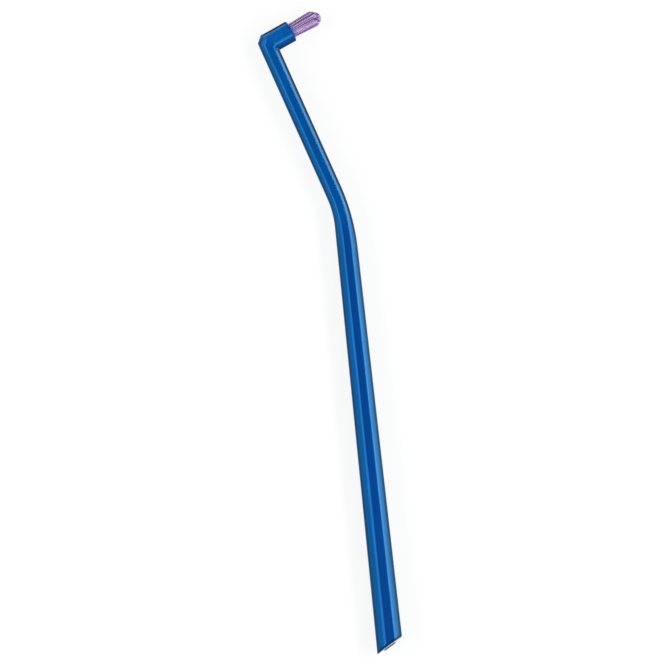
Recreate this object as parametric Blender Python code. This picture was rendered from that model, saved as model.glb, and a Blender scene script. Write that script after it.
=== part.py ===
"""Single tuft toothbrush, lying on its side.

The brush's own plane is horizontal. +Y runs along the grip from the butt to the head, +X is the
side that the tuft points to, and the origin is under the middle of the brush, on the surface
that it lies on. All sizes are in metres.
"""

import math
import random

import bmesh
import bpy
import numpy as np
from mathutils import Matrix, Vector

# Handle in plan. The neck's axis and the grip's axis cross in the bend.
GRIP_LENGTH = 0.1188
NECK_LENGTH = 0.0511
BEND_ANGLE = math.radians(18.0)
BEND_INNER_RADIUS = 0.0264
BEND_OUTER_RADIUS = 0.0583

# Handle's section, an octagon with rounded edges, measured across its flats.
NECK_WIDTH = 0.00485
GRIP_WIDTH_AT_BEND = 0.00557
GRIP_WIDTH_AT_BUTT = 0.00725
EDGE_RADIUS = 0.0005
BUTT_CUT_ANGLE = math.radians(30)
BUTT_EDGE_RADIUS = 0.0004

# Elbow and round tuft holder. The holder's length runs from the neck's axis to the mouth's outer
# edge, and the mouth's face rises by its crown from there to the bore.
HEAD_ANGLE = math.radians(84.5)
HOLDER_LENGTH = 0.0074
HOLDER_WALL = 0.00083
ELBOW_CHAMFER = 0.0016
ELBOW_EDGE_RADIUS = 0.0004
ELBOW_INNER_RADIUS = 0.0004
LIP_RADIUS = 0.0002
MOUTH_CROWN = 0.0003
BORE_DEPTH = 0.0050
BORE_EDGE_RADIUS = 0.0001

# Tuft. Its length is what stands out past the mouth's outer edge, and its outer strands end at
# the shoulder, where the pointed dome starts.
TUFT_LENGTH = 0.0090
TUFT_DOME_HEIGHT = 0.0022
TUFT_MOUTH_DIAMETER = 0.0041
TUFT_SHOULDER_DIAMETER = 0.00455
TUFT_ROOT_THICKNESS = 0.0006
TUFT_CLEARANCE = 0.00012
STRAND_SPACING = 0.00005
STRAND_LENGTH_SPREAD = 0.0002
STRANDS_EACH_SIDE = 10
STRAND_SEED = 4

# Anchor, a flat piece of metal wire across the bore that traps the folded strands.
ANCHOR_THICKNESS = 0.00025
ANCHOR_HEIGHT = 0.0015
ANCHOR_BITE_SHARE = 0.35
ANCHOR_EDGE_RADIUS = 0.00005
ANCHOR_CLEARANCE = 0.0001
ANCHOR_TURN = math.radians(45)
CUT_OVERRUN = 0.001

# How finely curved faces are divided.
OCTAGON_SIDES = 8
STEPS_PER_EDGE = 4
STEPS_IN_BEND = 20
STEPS_PER_CORNER = 4
STEPS_IN_LIP = 3
SIDE_SAMPLES = 200
SHARP_ANGLE = math.radians(30)

# The holder's section is the same octagon with its edges rounded until it is all but a circle.
ROUND_SHARE = 0.97

# Sizes that follow from the ones above.
NECK_HALF = NECK_WIDTH / 2
BORE_RADIUS = TUFT_MOUTH_DIAMETER / 2 + TUFT_CLEARANCE
HOLDER_RADIUS = BORE_RADIUS + HOLDER_WALL
SPINE_RADIUS = BEND_OUTER_RADIUS + GRIP_WIDTH_AT_BEND
ANCHOR_BITE = HOLDER_WALL * ANCHOR_BITE_SHARE
TUFT_SHOULDER_LENGTH = TUFT_LENGTH - TUFT_DOME_HEIGHT
TUFT_FLARE = (TUFT_SHOULDER_DIAMETER - TUFT_MOUTH_DIAMETER) / 2 / TUFT_SHOULDER_LENGTH
STRANDS_ACROSS = 2 * STRANDS_EACH_SIDE
ROOT_BOTTOM = -BORE_DEPTH + TUFT_CLEARANCE
ROOT_TOP = ROOT_BOTTOM + TUFT_ROOT_THICKNESS
ANCHOR_BOTTOM = ROOT_TOP + ANCHOR_CLEARANCE

# Directions and points in plan. The axes cross at the plan's origin.
GRIP_DIRECTION = Vector((0, 1))
NECK_DIRECTION = Matrix.Rotation(BEND_ANGLE, 2) @ GRIP_DIRECTION
HEAD_DIRECTION = Matrix.Rotation(-HEAD_ANGLE, 2) @ NECK_DIRECTION
ELBOW = NECK_DIRECTION * NECK_LENGTH
MOUTH = ELBOW + HEAD_DIRECTION * HOLDER_LENGTH


def right_of(direction):
    return Vector((direction.y, -direction.x))


def eased(share):
    """0 to 1 with a gentle start and end."""
    return share * share * (3 - 2 * share)


def between(start, end, share):
    return start + (end - start) * share


def crossing(point, direction, other_point, other_direction):
    """Where two straight lines in plan cross."""
    across = right_of(other_direction)
    reach = (other_point - point).dot(across) / direction.dot(across)
    return point + direction * reach


def rounded_corner(corner, before, after, radius, steps):
    """Points of the arc that rounds a corner between two straight runs."""
    turn = math.atan2(before.x * after.y - before.y * after.x, before.dot(after))
    start = corner - before * radius * math.tan(abs(turn) / 2)
    centre = start - right_of(before) * math.copysign(radius, turn)
    return [
        centre + Matrix.Rotation(turn * step / steps, 2) @ (start - centre)
        for step in range(steps + 1)
    ]


def section_ring(centre, across, half_width, half_height, round_share):
    """A ring of points round one section of the handle.

    The section stands on the plan line through centre along across. Its outline is an octagon
    whose edges are rounded by round_share of its half width, which runs from 0 for sharp edges
    to 1 for a circle.
    """
    side_angle = 2 * math.pi / OCTAGON_SIDES
    corner_reach = (1 - round_share) / math.cos(side_angle / 2)
    ring = []
    for side in range(OCTAGON_SIDES):
        corner_angle = (side + 1 / 2) * side_angle
        for step in range(STEPS_PER_EDGE + 1):
            angle = (side + step / STEPS_PER_EDGE) * side_angle
            u = corner_reach * math.cos(corner_angle) + round_share * math.cos(angle)
            v = corner_reach * math.sin(corner_angle) + round_share * math.sin(angle)
            place = centre + across * (u * half_width)
            ring.append(Vector((place.x, place.y, v * half_height)))
    return ring


def grip_half_width(distance):
    """Half the grip's width at a distance from the bend towards the butt."""
    share = distance / GRIP_LENGTH
    return between(GRIP_WIDTH_AT_BEND, GRIP_WIDTH_AT_BUTT, share) / 2


def octagon_ring(centre, across, half_width):
    return section_ring(centre, across, half_width, half_width, EDGE_RADIUS / half_width)


def grip_ring(distance):
    centre = -GRIP_DIRECTION * distance
    return octagon_ring(centre, right_of(GRIP_DIRECTION), grip_half_width(distance))


def side_through_bend(side, radius, reach):
    """Plan outline of one side of the handle, from the grip through the bend to the neck.

    side is -1 for the left and 1 for the right, looking from the butt to the head.
    """
    low = Vector((side * grip_half_width(reach), -reach))
    high = Vector((side * grip_half_width(0), 0))
    grip_run = (high - low).normalized()
    neck_point = right_of(NECK_DIRECTION) * (side * NECK_HALF)
    corner = crossing(low, grip_run, neck_point, NECK_DIRECTION)
    arc = rounded_corner(corner, grip_run, NECK_DIRECTION, radius, SIDE_SAMPLES)
    return [low] + arc + [neck_point + NECK_DIRECTION * reach]


def offset_at(outline, point, across):
    """How far along across an outline passes the point."""
    along = -right_of(across)
    steps = np.array([[(p - point).dot(along), (p - point).dot(across)] for p in outline])
    return float(np.interp(0, steps[:, 0], steps[:, 1]))


def bend_rings():
    """Sections through the bend, whose two sides have different radii."""
    reach = SPINE_RADIUS * math.tan(BEND_ANGLE / 2) + GRIP_WIDTH_AT_BEND
    left = side_through_bend(-1, BEND_INNER_RADIUS, reach)
    right = side_through_bend(1, BEND_OUTER_RADIUS, reach)
    origin = Vector((0, 0))
    spine = rounded_corner(origin, GRIP_DIRECTION, NECK_DIRECTION, SPINE_RADIUS, STEPS_IN_BEND)
    rings = []
    for step, point in enumerate(spine):
        turn = BEND_ANGLE * step / STEPS_IN_BEND
        across = right_of(Matrix.Rotation(turn, 2) @ GRIP_DIRECTION)
        low = offset_at(left, point, across)
        high = offset_at(right, point, across)
        rings.append(octagon_ring(point + across * ((low + high) / 2), across, (high - low) / 2))
    return rings


def divided(points, longest):
    """The same path with more points on its long straight runs."""
    path = [points[0]]
    for start, end in zip(points, points[1:]):
        pieces = max(1, math.ceil((end - start).length / longest))
        path += [between(start, end, piece / pieces) for piece in range(1, pieces + 1)]
    return path


def elbow_rings():
    """Sections through the elbow, where the octagonal neck turns into the round holder.

    They fan out from the centre of the small inner radius to the chamfered outer corner.
    """
    neck_right = right_of(NECK_DIRECTION)
    head_right = right_of(HEAD_DIRECTION)
    neck_side = ELBOW - neck_right * NECK_HALF
    head_side = ELBOW - head_right * HOLDER_RADIUS
    pivot = crossing(
        ELBOW + neck_right * (NECK_HALF + ELBOW_INNER_RADIUS),
        NECK_DIRECTION,
        ELBOW + head_right * (HOLDER_RADIUS + ELBOW_INNER_RADIUS),
        HEAD_DIRECTION,
    )
    corner = crossing(neck_side, NECK_DIRECTION, head_side, HEAD_DIRECTION)
    first = corner - NECK_DIRECTION * ELBOW_CHAMFER
    second = corner + HEAD_DIRECTION * ELBOW_CHAMFER
    chamfer = (second - first).normalized()
    outline = [crossing(pivot, neck_right, neck_side, NECK_DIRECTION)]
    outline += rounded_corner(
        first, NECK_DIRECTION, chamfer, ELBOW_EDGE_RADIUS, STEPS_PER_CORNER
    )
    outline += rounded_corner(
        second, chamfer, HEAD_DIRECTION, ELBOW_EDGE_RADIUS, STEPS_PER_CORNER
    )
    outline.append(crossing(pivot, head_right, head_side, HEAD_DIRECTION))
    rings = []
    for place in divided(outline, HOLDER_RADIUS / STEPS_PER_CORNER):
        spoke = (place - pivot).normalized()
        turn = math.acos(min(1, max(-1, spoke.dot(-neck_right))))
        share = eased(turn / HEAD_ANGLE)
        inner = pivot + spoke * ELBOW_INNER_RADIUS
        rings.append(
            section_ring(
                (place + inner) / 2,
                -spoke,
                (place - inner).length / 2,
                between(NECK_HALF, HOLDER_RADIUS, share),
                between(EDGE_RADIUS / NECK_HALF, ROUND_SHARE, share),
            )
        )
    return rings


def quarter_turn(steps):
    """Sine and cosine from 0 to 90 degrees."""
    angles = [math.pi / 2 * step / steps for step in range(steps + 1)]
    return [(math.sin(angle), math.cos(angle)) for angle in angles]


def mouth_rings():
    """Sections from the mouth's rounded lip, up its crowned face and down the bore."""
    profile = []
    for sine, cosine in quarter_turn(STEPS_IN_LIP):
        profile.append((LIP_RADIUS * (sine - 1), HOLDER_RADIUS - LIP_RADIUS * (1 - cosine)))
    for sine, cosine in quarter_turn(STEPS_IN_LIP):
        along = MOUTH_CROWN - BORE_EDGE_RADIUS * (1 - cosine)
        profile.append((along, BORE_RADIUS + BORE_EDGE_RADIUS * (1 - sine)))
    profile.append((-BORE_DEPTH, BORE_RADIUS))
    across = right_of(HEAD_DIRECTION)
    return [
        section_ring(MOUTH + HEAD_DIRECTION * along, across, radius, radius, ROUND_SHARE)
        for along, radius in profile
    ]


def butt_rings():
    """The oblique cut across the grip, from its face over the rounded edge to the sides."""
    centre = Vector((0, -GRIP_LENGTH, 0))
    normal = Matrix.Rotation(BUTT_CUT_ANGLE, 3, "Z") @ Vector((0, -1, 0))
    edge_share = BUTT_EDGE_RADIUS / grip_half_width(GRIP_LENGTH)
    rings = [[] for _ in range(STEPS_IN_LIP + 1)]
    for start, end in zip(grip_ring(0), grip_ring(GRIP_LENGTH)):
        run = end - start
        sharp = start + run * ((centre - start).dot(normal) / run.dot(normal))
        face = between(sharp, centre, edge_share)
        side = sharp - run.normalized() * BUTT_EDGE_RADIUS
        for step, ring in enumerate(rings):
            share = step / STEPS_IN_LIP
            ring.append(between(between(face, sharp, share), between(sharp, side, share), share))
    return rings


def finished_mesh(bm, name):
    """The mesh data of a bmesh, shaded smooth but for its sharp edges."""
    bmesh.ops.recalc_face_normals(bm, faces=bm.faces[:])
    mesh = bpy.data.meshes.new(name)
    bm.to_mesh(mesh)
    bm.free()
    mesh.shade_smooth()
    mesh.set_sharp_from_angle(angle=SHARP_ANGLE)
    return mesh


def handle_mesh():
    """The whole moulding as one loft of rounded octagons, from the butt to the bore's bottom."""
    rings = butt_rings() + bend_rings() + elbow_rings() + mouth_rings()
    bm = bmesh.new()
    loops = [[bm.verts.new(point) for point in ring] for ring in rings]
    count = len(loops[0])
    for near, far in zip(loops, loops[1:]):
        for i in range(count):
            j = (i + 1) % count
            bm.faces.new((near[i], near[j], far[j], far[i]))
    bm.faces.new(loops[0])
    bm.faces.new(loops[-1])
    return finished_mesh(bm, "handle")


def round_place(a, b):
    """A point of the square from -1 to 1 moved into the unit circle, keeping areas even."""
    if a == 0 and b == 0:
        return 0.0, 0.0
    if abs(a) > abs(b):
        radius, angle = a, math.pi / 4 * b / a
    else:
        radius, angle = b, math.pi / 2 - math.pi / 4 * a / b
    return radius * math.cos(angle), radius * math.sin(angle)


def tuft_radius(height):
    """The tuft's radius at a height above the mouth."""
    return TUFT_MOUTH_DIAMETER / 2 + TUFT_FLARE * height


def root_place(x, y, side):
    """Where a place of the unit circle lies at the root, on one side of the anchor."""
    anchor_room = ANCHOR_THICKNESS / 2 + ANCHOR_CLEARANCE
    radius = tuft_radius(ROOT_TOP)
    return Vector((x * (radius - anchor_room) + side * anchor_room, y * radius, ROOT_TOP))


def strand_end(x, y, root, shorter):
    """The end of the strand that starts at root: the tips together make a pointed dome."""
    top = Vector((x * tuft_radius(TUFT_LENGTH), y * tuft_radius(TUFT_LENGTH), TUFT_LENGTH))
    length = between(TUFT_LENGTH, TUFT_SHOULDER_LENGTH, x * x + y * y) - shorter
    return between(root, top, (length - ROOT_TOP) / (TUFT_LENGTH - ROOT_TOP))


def tuft_mesh():
    """Straight strands on one root slice, in two halves with room between for the anchor."""
    columns = [(i, -1) for i in range(STRANDS_EACH_SIDE + 1)]
    columns += [(i, 1) for i in range(STRANDS_EACH_SIDE, STRANDS_ACROSS + 1)]
    bm = bmesh.new()
    grid = []
    for i, side in columns:
        column = []
        for j in range(STRANDS_ACROSS + 1):
            x, y = round_place(2 * i / STRANDS_ACROSS - 1, 2 * j / STRANDS_ACROSS - 1)
            column.append((bm.verts.new(root_place(x, y, side)), x, y))
        grid.append(column)
    cells = []
    centres = []
    for near, far in zip(range(len(columns)), range(1, len(columns))):
        for j in range(STRANDS_ACROSS):
            corners = [grid[near][j], grid[far][j], grid[far][j + 1], grid[near][j + 1]]
            cell = bm.faces.new([corner[0] for corner in corners])
            if columns[near][0] != columns[far][0]:
                cells.append(cell)
                centres.append((sum(c[1] for c in corners) / 4, sum(c[2] for c in corners) / 4))
    close_root(bm, grid)
    bm.normal_update()
    bmesh.ops.inset_individual(bm, faces=cells, thickness=STRAND_SPACING / 2, use_even_offset=True)
    strands = bmesh.ops.extrude_discrete_faces(bm, faces=cells)["faces"]
    chance = random.Random(STRAND_SEED)
    for tip, (x, y) in zip(strands, centres):
        root = tip.calc_center_median()
        end = strand_end(x, y, root, chance.uniform(0, STRAND_LENGTH_SPREAD))
        bmesh.ops.translate(bm, verts=tip.verts[:], vec=end - root)
    return finished_mesh(bm, "tuft")


def close_root(bm, grid):
    """Gives the root slice its side wall and its underside."""
    last = STRANDS_ACROSS
    rim = [column[0][0] for column in grid]
    rim += [corner[0] for corner in grid[-1][1:]]
    rim += [column[last][0] for column in reversed(grid[:-1])]
    rim += [corner[0] for corner in reversed(grid[0][1:last])]
    low = [bm.verts.new((v.co.x, v.co.y, ROOT_BOTTOM)) for v in rim]
    for i in range(len(rim)):
        j = (i + 1) % len(rim)
        bm.faces.new((rim[j], rim[i], low[i], low[j]))
    bm.faces.new(low)


def box_mesh(name, size, centre, edge_radius):
    """A box, with its edges rounded where a radius is given."""
    bm = bmesh.new()
    bmesh.ops.create_cube(bm, size=1)
    bmesh.ops.scale(bm, verts=bm.verts[:], vec=size)
    bmesh.ops.translate(bm, verts=bm.verts[:], vec=centre)
    if edge_radius:
        bmesh.ops.bevel(bm, geom=bm.edges[:], offset=edge_radius, segments=1, affect="EDGES")
    return finished_mesh(bm, name)


def anchor_mesh():
    size = (ANCHOR_THICKNESS, 2 * (BORE_RADIUS + ANCHOR_BITE), ANCHOR_HEIGHT)
    centre = (0, 0, ANCHOR_BOTTOM + ANCHOR_HEIGHT / 2)
    return box_mesh("anchor_staple", size, centre, ANCHOR_EDGE_RADIUS)


def anchor_slot_mesh():
    """The slot that the anchor was pressed down, open at the mouth."""
    bottom = ANCHOR_BOTTOM - ANCHOR_CLEARANCE
    size = (
        ANCHOR_THICKNESS + 2 * ANCHOR_CLEARANCE,
        2 * (BORE_RADIUS + ANCHOR_BITE + ANCHOR_CLEARANCE),
        CUT_OVERRUN - bottom,
    )
    return box_mesh("anchor_slot", size, (0, 0, (CUT_OVERRUN + bottom) / 2), 0)


def shaded(name, colour, roughness, metallic):
    """A material with one colour, which the viewport shows too."""
    material = bpy.data.materials.new(name)
    material.use_nodes = True
    shader = material.node_tree.nodes["Principled BSDF"]
    shader.inputs["Base Color"].default_value = (*colour, 1)
    shader.inputs["Roughness"].default_value = roughness
    shader.inputs["Metallic"].default_value = metallic
    material.diffuse_color = (*colour, 1)
    material.roughness = roughness
    material.metallic = metallic
    return material


def placed(mesh, material, parent, matrix):
    """An object for the mesh, under the brush's own empty."""
    mesh.materials.append(material)
    piece = bpy.data.objects.new(mesh.name, mesh)
    bpy.context.scene.collection.objects.link(piece)
    piece.parent = parent
    piece.matrix_basis = matrix
    return piece


def holder_frame():
    """Z along the tuft from the mouth's centre, Y along the anchor, which stands askew."""
    ahead = HEAD_DIRECTION.to_3d()
    up = Vector((0, 0, 1))
    side = up.cross(ahead)
    axes = Matrix((side, up, ahead)).transposed().to_4x4()
    return Matrix.Translation(MOUTH.to_3d()) @ axes @ Matrix.Rotation(ANCHOR_TURN, 4, "Z")


def cut_anchor_slot(handle, parent, matrix):
    cutter = bpy.data.objects.new("anchor_slot_cutter", anchor_slot_mesh())
    bpy.context.scene.collection.objects.link(cutter)
    cutter.parent = parent
    cutter.matrix_basis = matrix
    cutter.hide_render = True
    cutter.display_type = "WIRE"
    cut = handle.modifiers.new("anchor_slot", "BOOLEAN")
    cut.operation = "DIFFERENCE"
    cut.solver = "EXACT"
    cut.object = cutter
    flats = handle.modifiers.new("flats_shade_flat", "WEIGHTED_NORMAL")
    flats.keep_sharp = True


def stand_on_origin(brush, pieces):
    """Moves the brush so that the origin is under its middle, at the height of its lowest point."""
    corners = [piece.matrix_basis @ vertex.co for piece in pieces for vertex in piece.data.vertices]
    low = Vector([min(corner[axis] for corner in corners) for axis in range(3)])
    high = Vector([max(corner[axis] for corner in corners) for axis in range(3)])
    brush.location = -Vector(((low.x + high.x) / 2, (low.y + high.y) / 2, low.z))


def main():
    for old in list(bpy.data.objects):
        bpy.data.objects.remove(old, do_unlink=True)
    blue = shaded("blue_plastic", (0.004, 0.095, 0.33), 0.2, 0)
    violet = shaded("violet_filament", (0.33, 0.20, 0.42), 0.45, 0)
    brass = shaded("brass_wire", (0.72, 0.55, 0.28), 0.35, 1)
    brush = bpy.data.objects.new("brush", None)
    bpy.context.scene.collection.objects.link(brush)
    head = holder_frame()
    handle = placed(handle_mesh(), blue, brush, Matrix())
    anchor = placed(anchor_mesh(), brass, brush, head)
    tuft = placed(tuft_mesh(), violet, brush, head)
    cut_anchor_slot(handle, brush, head)
    stand_on_origin(brush, [handle, anchor, tuft])


main()
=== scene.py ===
"""The finished look of a single tuft toothbrush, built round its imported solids.

The brush lies on a pale floor, and the camera looks down on it. Sizes are in metres. The handle
and the tuft are drawn in plan, where the neck's axis and the grip's axis cross at the plan's
origin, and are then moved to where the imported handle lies.
"""

import math
import random
from collections import namedtuple

import bmesh
import bpy
from mathutils import Matrix, Vector
from mathutils.noise import noise as noise_at


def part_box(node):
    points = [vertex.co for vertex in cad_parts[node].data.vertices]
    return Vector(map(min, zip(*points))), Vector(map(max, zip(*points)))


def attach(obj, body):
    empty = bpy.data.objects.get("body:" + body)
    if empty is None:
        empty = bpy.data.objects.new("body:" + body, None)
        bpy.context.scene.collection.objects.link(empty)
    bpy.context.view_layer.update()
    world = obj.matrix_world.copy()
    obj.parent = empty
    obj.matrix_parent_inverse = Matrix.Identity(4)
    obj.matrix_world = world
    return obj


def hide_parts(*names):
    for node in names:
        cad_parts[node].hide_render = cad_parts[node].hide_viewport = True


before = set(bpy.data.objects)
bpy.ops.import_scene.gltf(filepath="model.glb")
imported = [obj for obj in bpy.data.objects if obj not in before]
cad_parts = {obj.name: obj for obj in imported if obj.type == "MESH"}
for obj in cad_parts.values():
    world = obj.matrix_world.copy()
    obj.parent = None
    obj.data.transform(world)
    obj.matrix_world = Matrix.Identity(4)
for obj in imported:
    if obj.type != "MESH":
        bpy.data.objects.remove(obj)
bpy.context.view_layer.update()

# Handle in plan.
GRIP_LENGTH = 0.1188
NECK_LENGTH = 0.0511
BEND_ANGLE = math.radians(18.0)
BEND_INNER_RADIUS = 0.0264
BEND_OUTER_RADIUS = 0.0583

# Handle's section, an octagon with rounded edges, measured across its flats. As on any moulding
# the flats are slightly bowed, by this angle at their edges.
NECK_WIDTH = 0.00485
GRIP_WIDTH_AT_BEND = 0.00557
GRIP_WIDTH_AT_BUTT = 0.00725
EDGE_RADIUS = 0.0005
FACET_BOW = math.radians(3)
BUTT_CUT_ANGLE = math.radians(30)
BUTT_EDGE_RADIUS = 0.0004

# Elbow and round tuft holder. Its section is the same octagon, rounded to all but a circle.
HEAD_ANGLE = math.radians(84.5)
HOLDER_LENGTH = 0.0074
HOLDER_RADIUS = 0.0030
BORE_RADIUS = 0.00217
BORE_DEPTH = 0.0050
BORE_EDGE_RADIUS = 0.0001
LIP_RADIUS = 0.0002
MOUTH_CROWN = 0.0003
ELBOW_CHAMFER = 0.0016
ELBOW_EDGE_RADIUS = 0.0004
ELBOW_INNER_RADIUS = 0.0004
ROUND_SHARE = 0.98

# Tuft. Heights are above the mouth, and the filaments part at the foot to pass the anchor. The
# dome falls away with this power of the radius, and leans: its edge is longer towards the butt.
TUFT_LENGTH = 0.0090
TUFT_DOME_HEIGHT = 0.0022
TUFT_DOME_POWER = 2.5
TUFT_DOME_LEAN = 0.0003
TUFT_MOUTH_RADIUS = 0.00205
TUFT_SHOULDER_RADIUS = 0.00232
TUFT_FOOT = -0.0044
ANCHOR_ROOM = 0.000225
ANCHOR_TURN = math.radians(45)

# Filaments of the tuft. They are unevenly placed, by a share of their pitch, end a little short
# of the dome and stray from their course towards the end. Their tips are rounded in steps of
# (rise, width), as shares of the radius.
FILAMENT_RADIUS = 0.00007
FILAMENT_PITCH = 0.000165
FILAMENT_PLACE_SHARE = 0.14
FILAMENT_SHORTFALLS = (0.00003, 0.00020)
FILAMENT_STRAY = 0.00015
FILAMENT_TIP_SHARES = ((0.5, 0.85), (0.9, 0.4))
FILAMENT_SIDES = 6
FILAMENT_STEPS = 6
FILAMENT_SEED = 11

# How finely curved faces are divided.
OCTAGON_SIDES = 8
STEPS_PER_EDGE = 8
STEPS_PER_HALF_FACET = 2
STEPS_IN_BEND = 60
STEPS_PER_CORNER = 8
STEPS_IN_LIP = 6
SIDE_SAMPLES = 400
SHARP_ANGLE = math.radians(30)

# Camera, in pixels of the photograph, whose y runs down. It looks down from a little towards the
# butt and from a little to the left.
PHOTO_PIXELS = 665
PIXELS_PER_METRE = 3662
BEND_PIXEL = Vector((343.7, 213.9))
GRIP_LEAN = math.radians(6.08)
CAMERA_TILT = math.radians(5.5)
CAMERA_SIDE_TILT = math.radians(0.8)
CAMERA_DISTANCE = 3.0
SENSOR_WIDTH_MM = 36

# Blue plastic. On the octagon its colour goes by how far a place lies from the middle of the
# section towards its sides, from -1 at the left to 1 at the right, looking from the butt to the
# head. Besides the plastic's blue, the stops hold painted light: the paler bands along the flats'
# edges and on the right facets are painted highlights, and the deeper bands towards the sides
# are painted shade. The thin neck has its own set. Colours are linear red, green and blue.
BLUE_FLAT = (0.002, 0.058, 0.282)
BLUE_NECK_FLAT = (0.001, 0.080, 0.330)
# The next colour is painted shade, for the elbow's outer corner, the mouth's rim and the edge of
# the butt's cut.
BLUE_PAINTED_SHADE = (0.001, 0.032, 0.095)
BLUE_RIM = (0.002, 0.120, 0.290)
BLUE_AND_PAINTED_LIGHT_ACROSS_GRIP = (
    (-1.00, BLUE_RIM),
    (-0.97, BLUE_RIM),
    (-0.92, (0.001, 0.036, 0.120)),
    (-0.84, (0.001, 0.040, 0.135)),
    (-0.73, (0.002, 0.100, 0.325)),
    (-0.60, (0.002, 0.108, 0.400)),
    (-0.43, (0.001, 0.110, 0.425)),
    (-0.37, (0.018, 0.180, 0.540)),
    (-0.30, (0.018, 0.185, 0.545)),
    (-0.22, BLUE_FLAT),
    (0.36, BLUE_FLAT),
    (0.43, (0.034, 0.200, 0.560)),
    (0.48, (0.032, 0.190, 0.545)),
    (0.54, (0.022, 0.135, 0.460)),
    (0.61, (0.012, 0.107, 0.345)),
    (0.73, (0.016, 0.122, 0.320)),
    (0.84, (0.003, 0.045, 0.130)),
    (0.92, (0.002, 0.040, 0.110)),
    (0.97, BLUE_RIM),
    (1.00, BLUE_RIM),
)
BLUE_AND_PAINTED_LIGHT_ACROSS_NECK = (
    (-1.00, BLUE_RIM),
    (-0.97, BLUE_RIM),
    (-0.92, (0.001, 0.034, 0.105)),
    (-0.84, (0.002, 0.040, 0.120)),
    (-0.76, (0.002, 0.095, 0.290)),
    (-0.66, (0.006, 0.122, 0.375)),
    (-0.55, (0.003, 0.105, 0.380)),
    (-0.48, (0.005, 0.118, 0.430)),
    (-0.43, (0.016, 0.165, 0.500)),
    (-0.35, (0.020, 0.180, 0.530)),
    (-0.29, BLUE_NECK_FLAT),
    (0.42, BLUE_NECK_FLAT),
    (0.49, (0.014, 0.135, 0.440)),
    (0.55, (0.065, 0.225, 0.550)),
    (0.65, (0.095, 0.225, 0.475)),
    (0.72, (0.018, 0.090, 0.230)),
    (0.79, (0.001, 0.010, 0.045)),
    (0.92, (0.001, 0.016, 0.050)),
    (0.97, BLUE_RIM),
    (1.00, BLUE_RIM),
)

# The octagon's upright sides take the flats' blue, and painted shade deepens the elbow's
# corners, from one place across the section to another.
UPRIGHT_FACINGS = (0.35, 0.15)
ELBOW_CORNER_SHADES = (
    ((0.42, 0.55), (0.001, 0.035, 0.160)),
    ((-0.70, -0.80), BLUE_PAINTED_SHADE),
)

# How round the section is, from a sharp octagon's 0 to a circle's 1, tells the handle's parts
# from each other. In these bands the grip passes into the neck, and so on.
NECK_ROUND_SHARES = (0.180, 0.204)
ELBOW_ROUND_SHARES = (0.21, 0.26)
HOLDER_ROUND_SHARES = (0.45, 0.95)

# The round holder's colour goes by how far its surface leans towards the butt, from 0 to 1,
# where 0.5 looks up or down. Its stops paint light and shade: a thin highlight near its far
# side, a broad highlight on its side towards the butt, and painted shade on its steep sides.
HOLDER_BLUE_AND_PAINTED_LIGHT = (
    (0.000, BLUE_FLAT),
    (0.030, (0.001, 0.040, 0.180)),
    (0.060, (0.001, 0.025, 0.085)),
    (0.100, (0.001, 0.025, 0.085)),
    (0.135, (0.036, 0.190, 0.465)),
    (0.180, (0.020, 0.155, 0.450)),
    (0.230, (0.002, 0.100, 0.380)),
    (0.350, (0.003, 0.108, 0.415)),
    (0.540, (0.003, 0.108, 0.410)),
    (0.590, (0.001, 0.088, 0.350)),
    (0.640, (0.003, 0.105, 0.400)),
    (0.700, (0.014, 0.150, 0.500)),
    (0.740, (0.014, 0.155, 0.520)),
    (0.790, (0.003, 0.130, 0.470)),
    (0.830, (0.001, 0.066, 0.320)),
    (0.880, (0.001, 0.062, 0.280)),
    (0.930, (0.001, 0.036, 0.130)),
    (0.970, (0.001, 0.040, 0.180)),
    (1.000, BLUE_FLAT),
)

# Painted shade darkens the plastic at the mouth's rim and along the edge of the butt's cut.
BLUE_MOUTH_SHADE = (0.012, 0.055, 0.270)
MOUTH_SHADE_BAND = (-0.0007, -0.0003)
BLUE_CUT_FACE = (0.010, 0.110, 0.400)
CUT_EDGE_SHADE_BAND = (0.0009, 0.0005)
CUT_FACE_FACINGS = (0.80, 0.95)

# The plastic's surface. The holder's steep sides are rougher than the rest. The streaks run
# along the handle and change the colour's depth, and the lumps are a share of the seam's rise.
PLASTIC_IOR = 1.45
PLASTIC_TINT = (0.10, 0.70, 1)
PLASTIC_ROUGHNESS = (0.12, 0.20)
CUT_FACE_ROUGHNESS = 0.06
HOLDER_SIDE_ROUGHNESS = 0.9
STEEP_LEANS = (0.70, 0.85)
STREAK_SCALE = (900, 40, 900)
STREAK_DETAIL = 3
STREAK_SHARES = (0.90, 1.10)
LUMP_SCALE = (350, 90, 350)
LUMP_DETAIL = 2
LUMP_SHARE = 0.5
SEAM_HALF_WIDTH = 0.00006
SEAM_RISE = 0.00002

# Values that the meshes keep at their vertices for the materials.
SIDE_PLACE = "side_place"
ROUNDNESS = "roundness"
FILAMENT_SHADE = "filament_shade"

# Fine noise of every surface, and the range that most of any noise's values lie in.
FINE_SCALE = 4000
PLASTIC_DETAIL = 4
FILAMENT_DETAIL = 2
BRASS_DETAIL = 3
USUAL_NOISE = (0.3, 0.7)

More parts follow.
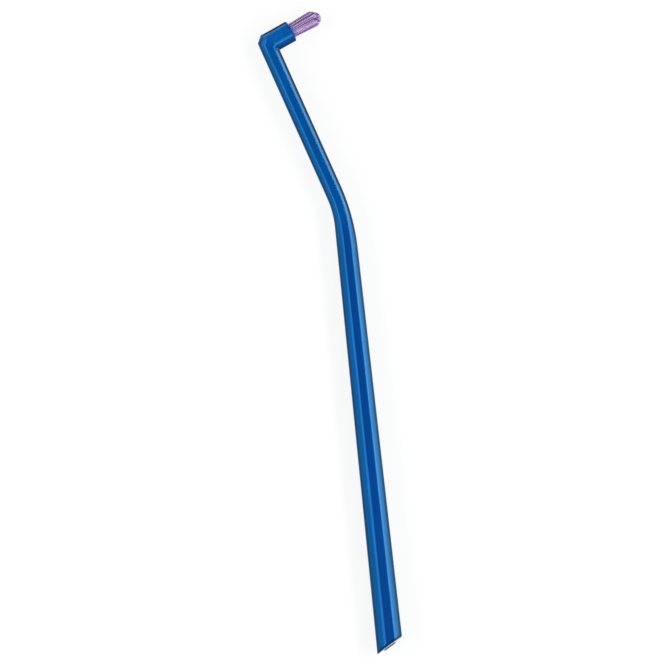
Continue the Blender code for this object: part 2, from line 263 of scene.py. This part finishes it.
# Violet filaments, from the deepest to the palest shade. A filament's shade is partly its own
# and partly its clump's, whose noise varies round the middle shade. The tips differ more: partly
# their own tone, partly painted shade between them. Near the holder all take a painted blue
# light from it. Bands are heights above the mouth.
VIOLET_BY_FILAMENT = (
    (0.0, (0.12, 0.045, 0.24)),
    (0.5, (0.45, 0.25, 0.63)),
    (1.0, (0.92, 0.72, 0.98)),
)
PAINTED_BLUE_HOLDER_LIGHT = (0.29, 0.42, 1.0)
PAINTED_LIGHT_FOOT_BAND = (0.0014, 0)
MIDDLE_SHADE = 0.5
CLUMPS_ACROSS = 6
CLUMP_SHARE = 0.8
CLUMP_CONTRAST = 1.7
TIP_SPREAD_AND_GAP_SHADE = (0.34, 0.66)
TIP_BAND = (0.0062, 0.0072)
FILAMENT_ROUGHNESS = (0.35, 0.5)

# Brass of the anchor, in deeper and paler patches.
BRASS_PATCHES = ((0.3, (0.62, 0.45, 0.21)), (0.7, (0.75, 0.58, 0.31)))
BRASS_ROUGHNESS = (0.3, 0.45)

# Studio. The floor glows by itself, and the glow fades where things within CONTACT_REACH leave
# only these shares of the space above it open. Each soft box is given as azimuth and elevation
# in degrees, width, height and radiance.
WORLD_COLOUR = (0.2, 0.2, 0.21)
FLOOR_SIZE = 6.0
FLOOR_GLOW = 0.85
FLOOR_GREY = 0.17
BOUNCE_GREY = 0.8
CONTACT_REACH = 0.0005
CONTACT_SHARES = (0.72, 0.82)
CONTACT_SAMPLES = 32
BOX_DISTANCE = 0.7
SOFT_BOXES = {
    "edge_light_right": (0, 45, 0.9, 0.12, 7.5),
    "edge_light_left": (180, 45, 0.9, 0.12, 4.5),
    "fill_right": (18, 10, 0.7, 0.3, 3.4),
    "fill_left": (180, 22, 0.9, 0.3, 2.0),
    "fill_front": (-67, 42, 0.5, 0.25, 2.5),
    "rim_light_far": (113, 6, 0.6, 0.1, 2.0),
}

# Sizes that follow from the ones above.
NECK_HALF = NECK_WIDTH / 2
SPINE_RADIUS = BEND_OUTER_RADIUS + GRIP_WIDTH_AT_BEND
TUFT_SHOULDER = TUFT_LENGTH - TUFT_DOME_HEIGHT
TUFT_FLARE = (TUFT_SHOULDER_RADIUS - TUFT_MOUTH_RADIUS) / TUFT_SHOULDER
OUTER_FILAMENT = TUFT_MOUTH_RADIUS - FILAMENT_RADIUS

GRIP_DIRECTION = Vector((0, 1))
NECK_DIRECTION = Matrix.Rotation(BEND_ANGLE, 2) @ GRIP_DIRECTION
HEAD_DIRECTION = Matrix.Rotation(-HEAD_ANGLE, 2) @ NECK_DIRECTION
BUTT_DIRECTION = Matrix.Rotation(BUTT_CUT_ANGLE, 2) @ -GRIP_DIRECTION
ELBOW = NECK_DIRECTION * NECK_LENGTH
MOUTH = ELBOW + HEAD_DIRECTION * HOLDER_LENGTH
BUTT = -GRIP_DIRECTION * GRIP_LENGTH


def right_of(direction):
    return Vector((direction.y, -direction.x))


def eased(share):
    return share * share * (3 - 2 * share)


def between(start, end, share):
    return start + (end - start) * share


def crossing(point, direction, other_point, other_direction):
    """Where two straight lines in plan cross."""
    across = right_of(other_direction)
    reach = (other_point - point).dot(across) / direction.dot(across)
    return point + direction * reach


def rounded_corner(corner, before, after, radius, steps):
    """Points of the arc that rounds a corner between two straight runs."""
    turn = math.atan2(before.x * after.y - before.y * after.x, before.dot(after))
    start = corner - before * radius * math.tan(abs(turn) / 2)
    centre = start - right_of(before) * math.copysign(radius, turn)
    return [
        centre + Matrix.Rotation(turn * step / steps, 2) @ (start - centre)
        for step in range(steps + 1)
    ]


Section = namedtuple("Section", "points side_places round_share")


def section_ring(centre, across, half_width, half_height, round_share):
    """A section square to the plan: an octagon with its edges rounded by round_share."""
    side_angle = 2 * math.pi / OCTAGON_SIDES
    slope = math.tan(side_angle / 2)
    arc_reach = round_share * math.cos(FACET_BOW)
    arc_start = round_share * math.sin(FACET_BOW)
    crown = ((1 - round_share) * slope + arc_start) * math.tan(FACET_BOW) / 2
    flat_reach = 1 - arc_reach - crown
    outline = []
    for side in range(OCTAGON_SIDES):
        turn = Matrix.Rotation(side * side_angle, 2)
        for step in range(-STEPS_PER_HALF_FACET, STEPS_PER_HALF_FACET + 1):
            share = step / STEPS_PER_HALF_FACET
            reach = flat_reach + arc_reach + crown * (1 - share * share)
            outline.append(turn @ Vector((reach, (flat_reach * slope + arc_start) * share)))
        for step in range(1, STEPS_PER_EDGE):
            angle = between(FACET_BOW, side_angle - FACET_BOW, step / STEPS_PER_EDGE)
            corner = Vector((flat_reach, flat_reach * slope))
            round_edge = Vector((math.cos(angle), math.sin(angle))) * round_share
            outline.append(turn @ (corner + round_edge))
    ring = []
    for u, v in outline:
        place = centre + across * (u * half_width)
        ring.append(Vector((place.x, place.y, v * half_height)))
    return Section(ring, [u for u, _ in outline], round_share)


def grip_half_width(distance):
    """Half the grip's width at a distance from the bend towards the butt."""
    return between(GRIP_WIDTH_AT_BEND, GRIP_WIDTH_AT_BUTT, distance / GRIP_LENGTH) / 2


def octagon_ring(centre, across, half_width):
    return section_ring(centre, across, half_width, half_width, EDGE_RADIUS / half_width)


def grip_ring(distance):
    centre = -GRIP_DIRECTION * distance
    return octagon_ring(centre, right_of(GRIP_DIRECTION), grip_half_width(distance))


def side_through_bend(side, radius, reach):
    """Plan outline of one side, -1 for the left and 1 for the right, through the bend."""
    low = Vector((side * grip_half_width(reach), -reach))
    high = Vector((side * grip_half_width(0), 0))
    grip_run = (high - low).normalized()
    neck_point = right_of(NECK_DIRECTION) * (side * NECK_HALF)
    corner = crossing(low, grip_run, neck_point, NECK_DIRECTION)
    arc = rounded_corner(corner, grip_run, NECK_DIRECTION, radius, SIDE_SAMPLES)
    return [low] + arc + [neck_point + NECK_DIRECTION * reach]


def offset_at(outline, point, across):
    """How far along across an outline passes the point."""
    along = -right_of(across)
    steps = [((place - point).dot(along), (place - point).dot(across)) for place in outline]
    for (before, low), (after, high) in zip(steps, steps[1:]):
        if before <= 0 < after:
            return between(low, high, -before / (after - before))
    raise ValueError("the outline ends before the point")


def bend_rings():
    """Sections through the bend, whose two sides have different radii."""
    reach = SPINE_RADIUS * math.tan(BEND_ANGLE / 2) + GRIP_WIDTH_AT_BEND
    left = side_through_bend(-1, BEND_INNER_RADIUS, reach)
    right = side_through_bend(1, BEND_OUTER_RADIUS, reach)
    origin = Vector((0, 0))
    spine = rounded_corner(origin, GRIP_DIRECTION, NECK_DIRECTION, SPINE_RADIUS, STEPS_IN_BEND)
    rings = []
    for step, point in enumerate(spine):
        turn = BEND_ANGLE * step / STEPS_IN_BEND
        across = right_of(Matrix.Rotation(turn, 2) @ GRIP_DIRECTION)
        low = offset_at(left, point, across)
        high = offset_at(right, point, across)
        rings.append(octagon_ring(point + across * ((low + high) / 2), across, (high - low) / 2))
    return rings


def divided(points, longest):
    """The same path with more points on its long straight runs."""
    path = [points[0]]
    for start, end in zip(points, points[1:]):
        pieces = max(1, math.ceil((end - start).length / longest))
        path += [between(start, end, piece / pieces) for piece in range(1, pieces + 1)]
    return path


def elbow_pivot():
    """Where the elbow's sections would meet, at the centre of its inner radius."""
    neck_reach = NECK_HALF + ELBOW_INNER_RADIUS
    head_reach = HOLDER_RADIUS + ELBOW_INNER_RADIUS
    return crossing(
        ELBOW + right_of(NECK_DIRECTION) * neck_reach,
        NECK_DIRECTION,
        ELBOW + right_of(HEAD_DIRECTION) * head_reach,
        HEAD_DIRECTION,
    )


def elbow_outline(pivot):
    """The elbow's chamfered outer side in plan."""
    neck_right = right_of(NECK_DIRECTION)
    head_right = right_of(HEAD_DIRECTION)
    neck_side = ELBOW - neck_right * NECK_HALF
    head_side = ELBOW - head_right * HOLDER_RADIUS
    corner = crossing(neck_side, NECK_DIRECTION, head_side, HEAD_DIRECTION)
    first = corner - NECK_DIRECTION * ELBOW_CHAMFER
    second = corner + HEAD_DIRECTION * ELBOW_CHAMFER
    chamfer = (second - first).normalized()
    outline = [crossing(pivot, neck_right, neck_side, NECK_DIRECTION)]
    outline += rounded_corner(first, NECK_DIRECTION, chamfer, ELBOW_EDGE_RADIUS, STEPS_PER_CORNER)
    outline += rounded_corner(second, chamfer, HEAD_DIRECTION, ELBOW_EDGE_RADIUS, STEPS_PER_CORNER)
    outline.append(crossing(pivot, head_right, head_side, HEAD_DIRECTION))
    return divided(outline, HOLDER_RADIUS / STEPS_PER_CORNER)


def elbow_rings():
    """Sections that fan out from the elbow's inner radius to its chamfered outer corner."""
    pivot = elbow_pivot()
    neck_left = -right_of(NECK_DIRECTION)
    rings = []
    for place in elbow_outline(pivot):
        spoke = (place - pivot).normalized()
        turn = math.acos(min(1, max(-1, spoke.dot(neck_left))))
        share = eased(turn / HEAD_ANGLE)
        inner = pivot + spoke * ELBOW_INNER_RADIUS
        rings.append(
            section_ring(
                (place + inner) / 2,
                -spoke,
                (place - inner).length / 2,
                between(NECK_HALF, HOLDER_RADIUS, share),
                between(EDGE_RADIUS / NECK_HALF, ROUND_SHARE, share),
            )
        )
    return rings


def quarter_turn(steps):
    """Sine and cosine from 0 to 90 degrees."""
    angles = [math.pi / 2 * step / steps for step in range(steps + 1)]
    return [(math.sin(angle), math.cos(angle)) for angle in angles]


def mouth_rings():
    """Sections from the mouth's rounded lip, up its crowned face and down the bore."""
    profile = []
    for sine, cosine in quarter_turn(STEPS_IN_LIP):
        profile.append((LIP_RADIUS * (sine - 1), HOLDER_RADIUS - LIP_RADIUS * (1 - cosine)))
    for sine, cosine in quarter_turn(STEPS_IN_LIP):
        along = MOUTH_CROWN - BORE_EDGE_RADIUS * (1 - cosine)
        profile.append((along, BORE_RADIUS + BORE_EDGE_RADIUS * (1 - sine)))
    profile.append((-BORE_DEPTH, BORE_RADIUS))
    across = right_of(HEAD_DIRECTION)
    return [
        section_ring(MOUTH + HEAD_DIRECTION * along, across, radius, radius, ROUND_SHARE)
        for along, radius in profile
    ]


def butt_rings():
    """The oblique cut across the grip, from its face over the rounded edge to the sides."""
    centre = BUTT.to_3d()
    normal = BUTT_DIRECTION.to_3d()
    edge_share = BUTT_EDGE_RADIUS / grip_half_width(GRIP_LENGTH)
    rings = [[] for _ in range(STEPS_IN_LIP + 1)]
    high, low = grip_ring(0), grip_ring(GRIP_LENGTH)
    for start, end in zip(high.points, low.points):
        run = end - start
        sharp = start + run * ((centre - start).dot(normal) / run.dot(normal))
        face = between(sharp, centre, edge_share)
        side = sharp - run.normalized() * BUTT_EDGE_RADIUS
        for step, ring in enumerate(rings):
            share = step / STEPS_IN_LIP
            ring.append(between(between(face, sharp, share), between(sharp, side, share), share))
    return [Section(ring, low.side_places, low.round_share) for ring in rings]


def finished_piece(bm, name):
    """An object made of the bmesh, shaded smooth but for its sharp edges."""
    bmesh.ops.recalc_face_normals(bm, faces=bm.faces[:])
    mesh = bpy.data.meshes.new(name)
    bm.to_mesh(mesh)
    bm.free()
    mesh.shade_smooth()
    mesh.set_sharp_from_angle(angle=SHARP_ANGLE)
    piece = bpy.data.objects.new(name, mesh)
    bpy.context.scene.collection.objects.link(piece)
    return piece


def make_handle():
    """The moulding as one loft of rounded octagons, from the butt to the bore's bottom."""
    sections = butt_rings() + bend_rings() + elbow_rings() + mouth_rings()
    bm = bmesh.new()
    side_layer = bm.verts.layers.float.new(SIDE_PLACE)
    round_layer = bm.verts.layers.float.new(ROUNDNESS)
    loops = []
    for section in sections:
        loop = [bm.verts.new(point) for point in section.points]
        for vertex, side_place in zip(loop, section.side_places):
            vertex[side_layer] = side_place
            vertex[round_layer] = section.round_share
        loops.append(loop)
    count = len(loops[0])
    for near, far in zip(loops, loops[1:]):
        for i in range(count):
            j = (i + 1) % count
            bm.faces.new((near[i], near[j], far[j], far[i]))
    bm.faces.new(loops[0])
    bm.faces.new(loops[-1])
    handle = finished_piece(bm, "moulded_handle")
    flats = handle.modifiers.new("flats_shade_flat", "WEIGHTED_NORMAL")
    flats.keep_sharp = True
    return handle


def holder_frame():
    """Z along the tuft from the mouth's centre, turned as the anchor is."""
    ahead = HEAD_DIRECTION.to_3d()
    up = Vector((0, 0, 1))
    axes = Matrix((up.cross(ahead), up, ahead)).transposed().to_4x4()
    return Matrix.Translation(MOUTH.to_3d()) @ axes @ Matrix.Rotation(ANCHOR_TURN, 4, "Z")


def filament_places(chance):
    """Places of the filaments in the unit circle, on a slightly uneven hexagonal grid."""
    pitch = FILAMENT_PITCH / OUTER_FILAMENT
    row_pitch = pitch * math.sin(math.pi / 3)
    uneven = pitch * FILAMENT_PLACE_SHARE
    rows = math.ceil(1 / row_pitch)
    places = []
    for row in range(-rows, rows + 1):
        for column in range(-rows, rows + 1):
            x = (column + (row % 2) / 2) * pitch + chance.uniform(-uneven, uneven)
            y = row * row_pitch + chance.uniform(-uneven, uneven)
            if math.hypot(x, y) <= 1:
                places.append((x, y))
    return places


def filament_path(x, y, chance):
    """Centre points of one filament, from beside the anchor to its end in the pointed dome."""
    towards_butt = y * math.sin(ANCHOR_TURN) - x * math.cos(ANCHOR_TURN)
    end = between(TUFT_LENGTH, TUFT_SHOULDER, math.hypot(x, y) ** TUFT_DOME_POWER)
    end += TUFT_DOME_LEAN * towards_butt - chance.uniform(*FILAMENT_SHORTFALLS)
    angle = chance.uniform(0, 2 * math.pi)
    stray = Vector((math.cos(angle), math.sin(angle), 0)) * chance.uniform(0, FILAMENT_STRAY)
    path = []
    for step in range(FILAMENT_STEPS + 1):
        share = step / FILAMENT_STEPS
        height = between(TUFT_FOOT, end, share)
        radius = OUTER_FILAMENT + TUFT_FLARE * height
        room = ANCHOR_ROOM * (1 - share)
        place = Vector((x * (radius - room) + math.copysign(room, x), y * radius, height))
        path.append(place + stray * share * share)
    return path


def filament_shade(x, y, chance):
    """How pale a filament is, from 0 to 1. Neighbours are alike."""
    clump = MIDDLE_SHADE + CLUMP_CONTRAST * noise_at(Vector((x, y, 0)) * CLUMPS_ACROSS)
    return min(1, max(0, between(chance.uniform(0, 1), clump, CLUMP_SHARE)))


def add_filament(bm, path, shade, shade_layer):
    """A thin tube along the path with a rounded tip."""
    sections = [(centre, FILAMENT_RADIUS) for centre in path]
    for rise_share, width_share in FILAMENT_TIP_SHARES:
        tip = path[-1] + Vector((0, 0, FILAMENT_RADIUS * rise_share))
        sections.append((tip, FILAMENT_RADIUS * width_share))
    angles = [2 * math.pi * side / FILAMENT_SIDES for side in range(FILAMENT_SIDES)]
    loops = []
    for centre, radius in sections:
        rim = [Vector((math.cos(angle), math.sin(angle), 0)) * radius for angle in angles]
        loops.append([bm.verts.new(centre + offset) for offset in rim])
        for vertex in loops[-1]:
            vertex[shade_layer] = shade
    for near, far in zip(loops, loops[1:]):
        for i in range(FILAMENT_SIDES):
            j = (i + 1) % FILAMENT_SIDES
            bm.faces.new((near[i], near[j], far[j], far[i]))
    bm.faces.new(list(reversed(loops[0])))
    bm.faces.new(loops[-1])


def make_tuft():
    chance = random.Random(FILAMENT_SEED)
    bm = bmesh.new()
    shade_layer = bm.verts.layers.float.new(FILAMENT_SHADE)
    for x, y in filament_places(chance):
        path = filament_path(x, y, chance)
        add_filament(bm, path, filament_shade(x, y, chance), shade_layer)
    bmesh.ops.transform(bm, matrix=holder_frame(), verts=bm.verts[:])
    return finished_piece(bm, "filament_tuft")


def middle(low, high):
    """The middle of a box that is given by its two corners."""
    return (Vector(low) + Vector(high)) / 2


def drawn_middle(piece):
    """The middle of a piece's own box."""
    places = [vertex.co for vertex in piece.data.vertices]
    low = [min(place[axis] for place in places) for axis in range(3)]
    high = [max(place[axis] for place in places) for axis in range(3)]
    return middle(low, high)


def add_node(tree, kind, inputs=(), **settings):
    """A new node. inputs gives a socket, by name or number, a value or another's output."""
    node = tree.nodes.new(kind)
    for name, value in settings.items():
        setattr(node, name, value)
    for socket, value in dict(inputs).items():
        if isinstance(value, bpy.types.NodeSocket):
            tree.links.new(value, node.inputs[socket])
        else:
            node.inputs[socket].default_value = value
    return node


def maths(tree, operation, *values):
    node = add_node(tree, "ShaderNodeMath", dict(enumerate(values)), operation=operation)
    return node.outputs[0]


def ramp(tree, factor, stops):
    """A colour ramp from (position, colour) stops."""
    node = add_node(tree, "ShaderNodeValToRGB", {"Fac": factor})
    elements = node.color_ramp.elements
    while len(elements) < len(stops):
        elements.new(1)
    for element, (position, colour) in zip(elements, stops):
        element.position = position
        element.color = opaque(colour)
    return node.outputs["Color"]


def noise(tree, where, scale, detail):
    """Smooth noise from 0 to 1. scale is one number, or three to stretch it."""
    if not isinstance(scale, (int, float)):
        where = add_node(tree, "ShaderNodeMapping", {"Vector": where, "Scale": scale}).outputs[0]
        scale = 1
    inputs = {"Vector": where, "Scale": scale, "Detail": detail}
    return add_node(tree, "ShaderNodeTexNoise", inputs).outputs["Fac"]


def mapped(tree, value, start, end, low=0, high=1):
    """The value's range from start to end, moved to run from low to high."""
    inputs = {"Value": value, "From Min": start, "From Max": end, "To Min": low, "To Max": high}
    return add_node(tree, "ShaderNodeMapRange", inputs).outputs["Result"]


def spread(tree, value, low, high):
    """Noise's usual range widened or narrowed to run from low to high."""
    return mapped(tree, value, *USUAL_NOISE, low, high)


def opaque(colour):
    return (*colour, 1)


def grey(level):
    return (level, level, level, 1)


def blended(tree, factor, colour, other, blend_type="MIX"):
    """Two colours, or a colour and a grey number, mixed or multiplied.

    The Mix node has a set of sockets for each type of value: 6, 7 and 2 are the colours' own.
    """
    colours = [opaque(value) if isinstance(value, tuple) else value for value in (colour, other)]
    inputs = {"Factor": factor, 6: colours[0], 7: colours[1]}
    node = add_node(tree, "ShaderNodeMix", inputs, data_type="RGBA", blend_type=blend_type)
    return node.outputs[2]


def dot(tree, vector, direction):
    inputs = {0: vector, 1: direction}
    node = add_node(tree, "ShaderNodeVectorMath", inputs, operation="DOT_PRODUCT")
    return node.outputs["Value"]


def upwards(tree, vector):
    """A vector's part along Z."""
    return add_node(tree, "ShaderNodeSeparateXYZ", {0: vector}).outputs["Z"]


def vertex_value(tree, name):
    return add_node(tree, "ShaderNodeAttribute", attribute_name=name).outputs["Fac"]


def fresh_material(name):
    """A material, its node tree, its shader and the coordinates that it can use."""
    material = bpy.data.materials.new(name)
    material.use_nodes = True
    tree = material.node_tree
    where = tree.nodes.new("ShaderNodeTexCoord").outputs
    return material, tree, tree.nodes["Principled BSDF"], where


def set_bump(tree, shader, height, rise):
    inputs = {"Height": height, "Distance": rise, "Strength": 1}
    bump = add_node(tree, "ShaderNodeBump", inputs)
    tree.links.new(bump.outputs["Normal"], shader.inputs["Normal"])


def octagon_blue_with_painted_light(tree, where, roundness):
    """The plastic's colour across the octagonal handle, with painted highlights and shade."""
    side_place = vertex_value(tree, SIDE_PLACE)
    across = mapped(tree, side_place, -1, 1)
    # Ramps across the grip and the neck, with painted highlights along the flats' edges and
    # painted shade towards the sides.
    grip, neck = (
        ramp(tree, across, [((place + 1) / 2, colour) for place, colour in stops])
        for stops in (BLUE_AND_PAINTED_LIGHT_ACROSS_GRIP, BLUE_AND_PAINTED_LIGHT_ACROSS_NECK)
    )
    body = blended(tree, mapped(tree, roundness, *NECK_ROUND_SHARES), grip, neck)
    in_elbow = mapped(tree, roundness, *ELBOW_ROUND_SHARES)
    # Painted shade in the elbow's corners.
    for side_places, colour in ELBOW_CORNER_SHADES:
        corner = maths(tree, "MULTIPLY", in_elbow, mapped(tree, side_place, *side_places))
        body = blended(tree, corner, body, colour)
    facing = maths(tree, "ABSOLUTE", upwards(tree, where["Normal"]))
    upright = mapped(tree, facing, *UPRIGHT_FACINGS)
    return blended(tree, upright, body, BLUE_FLAT)


def blue_with_painted_light(tree, where, lean, roundness, on_holder):
    """The plastic's colour over the octagonal handle and the round holder, with painted highlights
    and shade.
    """
    # Painted highlights and shade round the holder, by its lean.
    holder = ramp(tree, mapped(tree, lean, -1, 1), HOLDER_BLUE_AND_PAINTED_LIGHT)
    body = blended(tree, on_holder, octagon_blue_with_painted_light(tree, where, roundness), holder)
    streaks = noise(tree, where["Object"], STREAK_SCALE, STREAK_DETAIL)
    return blended(tree, 1, body, spread(tree, streaks, *STREAK_SHARES), "MULTIPLY")


def reach_along(tree, where, start, direction):
    """How far a place lies from the start along a direction in plan."""
    inputs = {0: where["Object"], 1: start}
    offset = add_node(tree, "ShaderNodeVectorMath", inputs, operation="SUBTRACT").outputs[0]
    return dot(tree, offset, direction.to_3d())


def plastic_roughness(tree, where, cut_face, holder_sides):
    fine = noise(tree, where["Object"], FINE_SCALE, PLASTIC_DETAIL)
    roughness = spread(tree, fine, *PLASTIC_ROUGHNESS)
    roughness = mapped(tree, cut_face, 0, 1, roughness, CUT_FACE_ROUGHNESS)
    return mapped(tree, holder_sides, 0, 1, roughness, HOLDER_SIDE_ROUGHNESS)


def seam_and_lumps(tree, where, seam_height):
    """How high the surface stands: a fine seam at seam_height, and slight lumps."""
    height = upwards(tree, where["Object"])
    off_seam = maths(tree, "ABSOLUTE", maths(tree, "SUBTRACT", height, seam_height))
    seam = mapped(tree, off_seam, 0, SEAM_HALF_WIDTH, 1, 0)
    lumps = noise(tree, where["Object"], LUMP_SCALE, LUMP_DETAIL)
    return maths(tree, "MULTIPLY_ADD", lumps, LUMP_SHARE, seam)


def blue_plastic(seam_height, butt, mouth):
    """Glossy moulded plastic with a fine mould seam round it at seam_height."""
    material, tree, shader, where = fresh_material("blue_plastic")
    roundness = vertex_value(tree, ROUNDNESS)
    on_holder = mapped(tree, roundness, *HOLDER_ROUND_SHARES)
    lean = dot(tree, where["Normal"], right_of(HEAD_DIRECTION).to_3d())
    steep = mapped(tree, maths(tree, "ABSOLUTE", lean), *STEEP_LEANS)
    in_mouth_shade = mapped(tree, reach_along(tree, where, mouth, HEAD_DIRECTION), *MOUTH_SHADE_BAND)
    in_cut_edge_shade = mapped(tree, reach_along(tree, where, butt, -BUTT_DIRECTION), *CUT_EDGE_SHADE_BAND)
    facing = dot(tree, where["Normal"], BUTT_DIRECTION.to_3d())
    cut_face = maths(tree, "MULTIPLY", in_cut_edge_shade, mapped(tree, facing, *CUT_FACE_FACINGS))
    body = blue_with_painted_light(tree, where, lean, roundness, on_holder)
    # Painted shade at the mouth's rim and along the edge of the butt's cut.
    body = blended(tree, in_mouth_shade, body, blended(tree, steep, BLUE_MOUTH_SHADE, BLUE_PAINTED_SHADE))
    body = blended(tree, in_cut_edge_shade, body, BLUE_PAINTED_SHADE)
    tree.links.new(blended(tree, cut_face, body, BLUE_CUT_FACE), shader.inputs["Base Color"])
    holder_sides = maths(tree, "MULTIPLY", steep, on_holder)
    roughness = plastic_roughness(tree, where, cut_face, holder_sides)
    tree.links.new(roughness, shader.inputs["Roughness"])
    set_bump(tree, shader, seam_and_lumps(tree, where, seam_height), SEAM_RISE)
    shader.inputs["IOR"].default_value = PLASTIC_IOR
    shader.inputs["Specular Tint"].default_value = opaque(PLASTIC_TINT)
    return material


def violet_filament(mouth):
    """Satin nylon in clumps; painted shade among the tips, painted blue light near the holder."""
    material, tree, shader, where = fresh_material("violet_filament")
    height = reach_along(tree, where, mouth, HEAD_DIRECTION)
    shade = vertex_value(tree, FILAMENT_SHADE)
    # The tips' shades spread further apart, partly as painted shade between the tips.
    tip_and_gap_shade = mapped(tree, shade, *TIP_SPREAD_AND_GAP_SHADE)
    shade = mapped(tree, mapped(tree, height, *TIP_BAND), 0, 1, shade, tip_and_gap_shade)
    body = ramp(tree, shade, VIOLET_BY_FILAMENT)
    # Painted blue light from the holder, over the filaments near it.
    body = blended(tree, mapped(tree, height, *PAINTED_LIGHT_FOOT_BAND), body, PAINTED_BLUE_HOLDER_LIGHT)
    tree.links.new(body, shader.inputs["Base Color"])
    fine = noise(tree, where["Object"], FINE_SCALE, FILAMENT_DETAIL)
    tree.links.new(spread(tree, fine, *FILAMENT_ROUGHNESS), shader.inputs["Roughness"])
    return material


def brass_wire():
    material, tree, shader, where = fresh_material("brass_wire")
    patches = noise(tree, where["Object"], FINE_SCALE, BRASS_DETAIL)
    tree.links.new(ramp(tree, patches, BRASS_PATCHES), shader.inputs["Base Color"])
    tree.links.new(spread(tree, patches, *BRASS_ROUGHNESS), shader.inputs["Roughness"])
    shader.inputs["Metallic"].default_value = 1
    return material


def seen_rays(tree):
    """1 for the rays that the camera sees directly, in a gloss or through glass."""
    rays = tree.nodes.new("ShaderNodeLightPath").outputs
    seen = maths(tree, "MAXIMUM", rays["Is Camera Ray"], rays["Is Glossy Ray"])
    return maths(tree, "MAXIMUM", seen, rays["Is Transmission Ray"])


def make_floor():
    """A pale floor that looks white and keeps a faint shadow."""
    bm = bmesh.new()
    bmesh.ops.create_grid(bm, x_segments=1, y_segments=1, size=FLOOR_SIZE / 2)
    floor = finished_piece(bm, "floor")
    material, tree, shader, _ = fresh_material("floor_paper")
    tree.nodes.remove(shader)
    bounce = add_node(tree, "ShaderNodeBsdfDiffuse", {"Color": grey(BOUNCE_GREY)})
    shadowed = add_node(tree, "ShaderNodeBsdfDiffuse", {"Color": grey(FLOOR_GREY)})
    open_share = add_node(
        tree,
        "ShaderNodeAmbientOcclusion",
        {"Distance": CONTACT_REACH},
        samples=CONTACT_SAMPLES,
    ).outputs["AO"]
    clear = mapped(tree, open_share, *CONTACT_SHARES)
    strength = maths(tree, "MULTIPLY", clear, FLOOR_GLOW)
    glow = add_node(tree, "ShaderNodeEmission", {"Strength": strength})
    paper = add_node(tree, "ShaderNodeAddShader", {0: shadowed.outputs[0], 1: glow.outputs[0]})
    mixed = add_node(
        tree,
        "ShaderNodeMixShader",
        {0: seen_rays(tree), 1: bounce.outputs[0], 2: paper.outputs[0]},
    )
    tree.links.new(mixed.outputs[0], tree.nodes["Material Output"].inputs["Surface"])
    floor.data.materials.append(material)


def aimed(location):
    """The place of something at location that looks at the world's origin."""
    turn = (-location).to_track_quat("-Z", "Y")
    return Matrix.Translation(location) @ turn.to_matrix().to_4x4()


def make_soft_box(name, azimuth, elevation, width, height, radiance):
    """A rectangular light on a sphere round the brush, aimed at its middle."""
    lamp = bpy.data.lights.new(name, "AREA")
    lamp.shape = "RECTANGLE"
    lamp.size = width
    lamp.size_y = height
    lamp.energy = radiance * math.pi * width * height
    box = bpy.data.objects.new(name, lamp)
    bpy.context.scene.collection.objects.link(box)
    turn, rise = math.radians(azimuth), math.radians(elevation)
    level = BOX_DISTANCE * math.cos(rise)
    place = (level * math.cos(turn), level * math.sin(turn), BOX_DISTANCE * math.sin(rise))
    box.matrix_world = aimed(Vector(place))


def make_world():
    world = bpy.data.worlds.new("studio")
    world.use_nodes = True
    background = world.node_tree.nodes["Background"]
    background.inputs["Color"].default_value = opaque(WORLD_COLOUR)
    bpy.context.scene.world = world


def make_camera(bend):
    """Looks down on the brush, with the bend at its pixel and the grip leaning as photographed."""
    back = Vector((-math.tan(CAMERA_SIDE_TILT), -math.tan(CAMERA_TILT), 1)).normalized()
    grip_seen = (Vector((0, 1, 0)) - back * back.y).normalized()
    upright = Matrix.Rotation(-GRIP_LEAN, 3, back)
    up = upright @ grip_seen
    right = up.cross(back)
    off = BEND_PIXEL - Vector((PHOTO_PIXELS, PHOTO_PIXELS)) / 2
    target = bend - (right * off.x - up * off.y) / PIXELS_PER_METRE
    camera = bpy.data.cameras.new("camera")
    camera.sensor_width = SENSOR_WIDTH_MM
    camera.lens = SENSOR_WIDTH_MM * CAMERA_DISTANCE * PIXELS_PER_METRE / PHOTO_PIXELS
    camera.clip_end = 2 * CAMERA_DISTANCE
    viewer = bpy.data.objects.new("camera", camera)
    bpy.context.scene.collection.objects.link(viewer)
    turned = Matrix((right, up, back)).transposed().to_4x4()
    viewer.matrix_world = Matrix.Translation(target + back * CAMERA_DISTANCE) @ turned
    bpy.context.scene.camera = viewer


def dress(piece, material, node):
    """Makes the piece stand for a node of the frame, and gives it its material."""
    piece.data.materials.append(material)
    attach(piece, "root")
    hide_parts(node)


handle = make_handle()
tuft = make_tuft()
shift = middle(*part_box("handle")) - drawn_middle(handle)
for piece in (handle, tuft):
    piece.data.transform(Matrix.Translation(shift))

butt = BUTT.to_3d() + shift
mouth = MOUTH.to_3d() + shift
dress(handle, blue_plastic(shift.z, butt, mouth), "handle")
dress(tuft, violet_filament(mouth), "tuft")
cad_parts["anchor_staple"].material_slots[0].material = brass_wire()

make_floor()
make_world()
for name, box in SOFT_BOXES.items():
    make_soft_box(name, *box)
make_camera(shift)
bpy.context.scene.view_settings.view_transform = "Standard"
